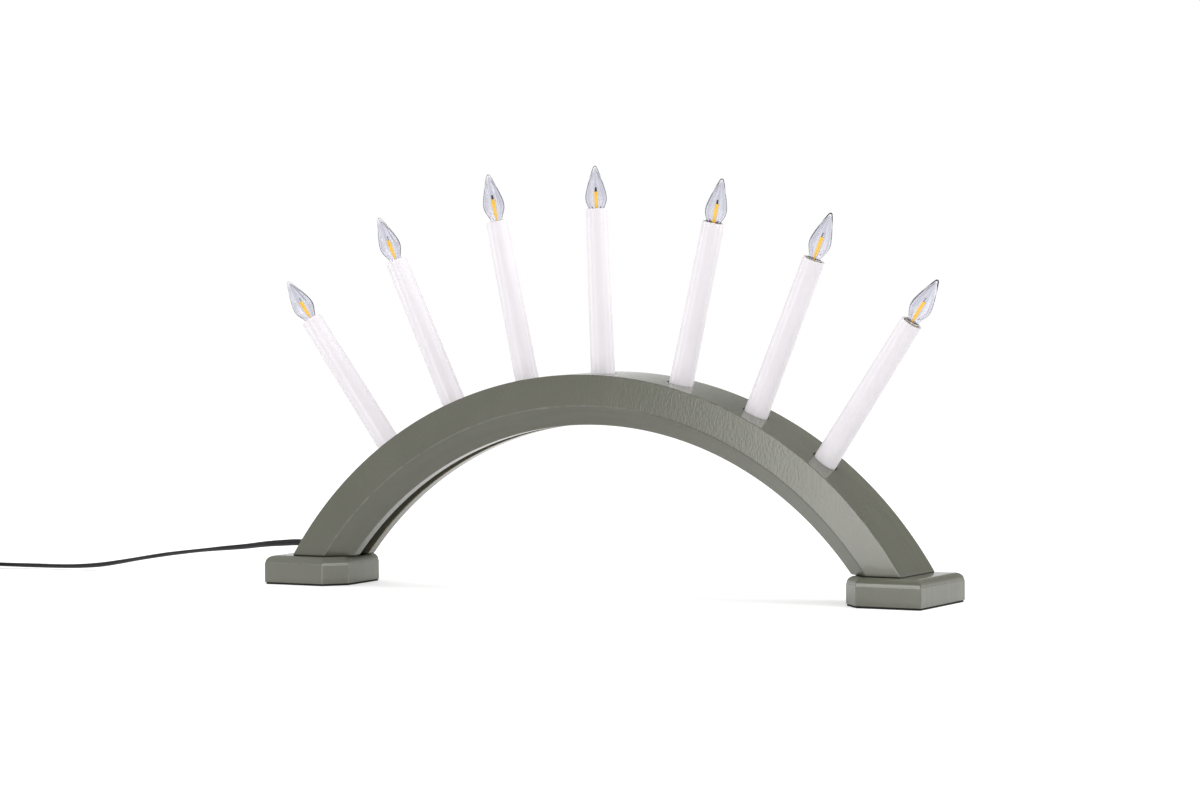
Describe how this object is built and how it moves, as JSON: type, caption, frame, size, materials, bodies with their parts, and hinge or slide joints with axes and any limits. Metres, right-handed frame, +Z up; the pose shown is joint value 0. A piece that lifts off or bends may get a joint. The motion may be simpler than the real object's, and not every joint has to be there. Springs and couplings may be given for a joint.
{
  "type": "electric candle arch",
  "caption": "Electric candle arch: a painted wooden arch on two feet carries a fan of slim candle sleeves with small screw-in flame lamps, fed by a thin mains lead with a flat plug.",
  "frame": {"origin": "on the table, midway between the two feet and midway from front to back", "axes": "+X along the span towards the foot without the lead, +Y from front to back, +Z up"},
  "size_m": [0.8511, 0.1015, 0.2741],
  "materials": {
    "painted_wood": "satin grey-green paint over wood",
    "foam_pad": "matte black foam",
    "steel": "zinc-plated",
    "sleeve_plastic": "smooth white moulded plastic",
    "holder_plastic": "ivory moulded plastic",
    "brass": "stamped brass",
    "nickel": "nickel-plated",
    "clear_glass": "clear, with flutes on the inner wall",
    "phosphor": "yellow phosphor coating",
    "black_flex": "smooth black flex insulation"
  },
  "bodies": {
    "stand": {"arch": "painted_wood", "foot_left": "painted_wood", "foot_right": "painted_wood", "foot_pad_left": "foam_pad", "foot_pad_right": "foam_pad", "foot_screw_left_front": "steel", "foot_screw_left_back": "steel", "foot_screw_right_front": "steel", "foot_screw_right_back": "steel", "wiring_loom": "black_flex", "candle_sleeve_1": "sleeve_plastic", "lamp_holder_1": "holder_plastic", "candle_sleeve_2": "sleeve_plastic", "lamp_holder_2": "holder_plastic", "candle_sleeve_3": "sleeve_plastic", "lamp_holder_3": "holder_plastic", "candle_sleeve_4": "sleeve_plastic", "lamp_holder_4": "holder_plastic", "candle_sleeve_5": "sleeve_plastic", "lamp_holder_5": "holder_plastic", "candle_sleeve_6": "sleeve_plastic", "lamp_holder_6": "holder_plastic", "candle_sleeve_7": "sleeve_plastic", "lamp_holder_7": "holder_plastic", "cord_strain_relief": "black_flex", "cord_lead": "black_flex", "cord_coil": "black_flex", "cord_tie": "black_flex", "plug_body": "black_flex", "plug_pin_near": "nickel", "plug_pin_far": "nickel"},
    "contact_1": {"holder_contact_1": "brass"},
    "lamp_1": {"lamp_cap_1": "nickel", "lamp_glass_1": "clear_glass", "lamp_filament_1": "phosphor"},
    "contact_2": {"holder_contact_2": "brass"},
    "lamp_2": {"lamp_cap_2": "nickel", "lamp_glass_2": "clear_glass", "lamp_filament_2": "phosphor"},
    "contact_3": {"holder_contact_3": "brass"},
    "lamp_3": {"lamp_cap_3": "nickel", "lamp_glass_3": "clear_glass", "lamp_filament_3": "phosphor"},
    "contact_4": {"holder_contact_4": "brass"},
    "lamp_4": {"lamp_cap_4": "nickel", "lamp_glass_4": "clear_glass", "lamp_filament_4": "phosphor"},
    "contact_5": {"holder_contact_5": "brass"},
    "lamp_5": {"lamp_cap_5": "nickel", "lamp_glass_5": "clear_glass", "lamp_filament_5": "phosphor"},
    "contact_6": {"holder_contact_6": "brass"},
    "lamp_6": {"lamp_cap_6": "nickel", "lamp_glass_6": "clear_glass", "lamp_filament_6": "phosphor"},
    "contact_7": {"holder_contact_7": "brass"},
    "lamp_7": {"lamp_cap_7": "nickel", "lamp_glass_7": "clear_glass", "lamp_filament_7": "phosphor"}
  },
  "joints": [
    {"name": "lamp_1_rise", "type": "slide", "parent": "stand", "child": "contact_1", "axis": [-0.5871, 0, 0.8095], "range_m": [-0.00408, 0.00318]},
    {"name": "lamp_1_turn", "type": "hinge", "parent": "contact_1", "child": "lamp_1", "pos_m": [-0.14849, 0, 0.07553], "axis": [-0.5871, 0, 0.8095], "range_deg": [-810, 630]},
    {"name": "lamp_2_rise", "type": "slide", "parent": "stand", "child": "contact_2", "axis": [-0.4211, 0, 0.907], "range_m": [-0.00408, 0.00318]},
    {"name": "lamp_2_turn", "type": "hinge", "parent": "contact_2", "child": "lamp_2", "pos_m": [-0.10287, 0, 0.10289], "axis": [-0.4211, 0, 0.907], "range_deg": [-810, 630]},
    {"name": "lamp_3_rise", "type": "slide", "parent": "stand", "child": "contact_3", "axis": [-0.2054, 0, 0.9787], "range_m": [-0.00408, 0.00318]},
    {"name": "lamp_3_turn", "type": "hinge", "parent": "contact_3", "child": "lamp_3", "pos_m": [-0.05277, 0, 0.11991], "axis": [-0.2054, 0, 0.9787], "range_deg": [-810, 630]},
    {"name": "lamp_4_rise", "type": "slide", "parent": "stand", "child": "contact_4", "axis": [-0.0366, 0, 0.9993], "range_m": [0, 0.00726]},
    {"name": "lamp_4_turn", "type": "hinge", "parent": "contact_4", "child": "lamp_4", "pos_m": [0.00029, 0, 0.12588], "axis": [-0.0366, 0, 0.9993], "range_deg": [0, 1440]},
    {"name": "lamp_5_rise", "type": "slide", "parent": "stand", "child": "contact_5", "axis": [0.2258, 0, 0.9742], "range_m": [-0.00091, 0.00635]},
    {"name": "lamp_5_turn", "type": "hinge", "parent": "contact_5", "child": "lamp_5", "pos_m": [0.05261, 0, 0.11995], "axis": [0.2258, 0, 0.9742], "range_deg": [-180, 1260]},
    {"name": "lamp_6_rise", "type": "slide", "parent": "stand", "child": "contact_6", "axis": [0.3875, 0, 0.9219], "range_m": [-0.00408, 0.00318]},
    {"name": "lamp_6_turn", "type": "hinge", "parent": "contact_6", "child": "lamp_6", "pos_m": [0.10325, 0, 0.10302], "axis": [0.3875, 0, 0.9219], "range_deg": [-810, 630]},
    {"name": "lamp_7_rise", "type": "slide", "parent": "stand", "child": "contact_7", "axis": [0.5628, 0, 0.8266], "range_m": [-0.00454, 0.00272]},
    {"name": "lamp_7_turn", "type": "hinge", "parent": "contact_7", "child": "lamp_7", "pos_m": [0.14882, 0, 0.07557], "axis": [0.5628, 0, 0.8266], "range_deg": [-900, 540]}
  ],
  "couplings": [
    {"joint": "lamp_1_rise", "follows": "lamp_1_turn", "m_per_rad": 0.00028871},
    {"joint": "lamp_2_rise", "follows": "lamp_2_turn", "m_per_rad": 0.00028871},
    {"joint": "lamp_3_rise", "follows": "lamp_3_turn", "m_per_rad": 0.00028871},
    {"joint": "lamp_4_rise", "follows": "lamp_4_turn", "m_per_rad": 0.00028871},
    {"joint": "lamp_5_rise", "follows": "lamp_5_turn", "m_per_rad": 0.00028871},
    {"joint": "lamp_6_rise", "follows": "lamp_6_turn", "m_per_rad": 0.00028871},
    {"joint": "lamp_7_rise", "follows": "lamp_7_turn", "m_per_rad": 0.00028871}
  ]
}
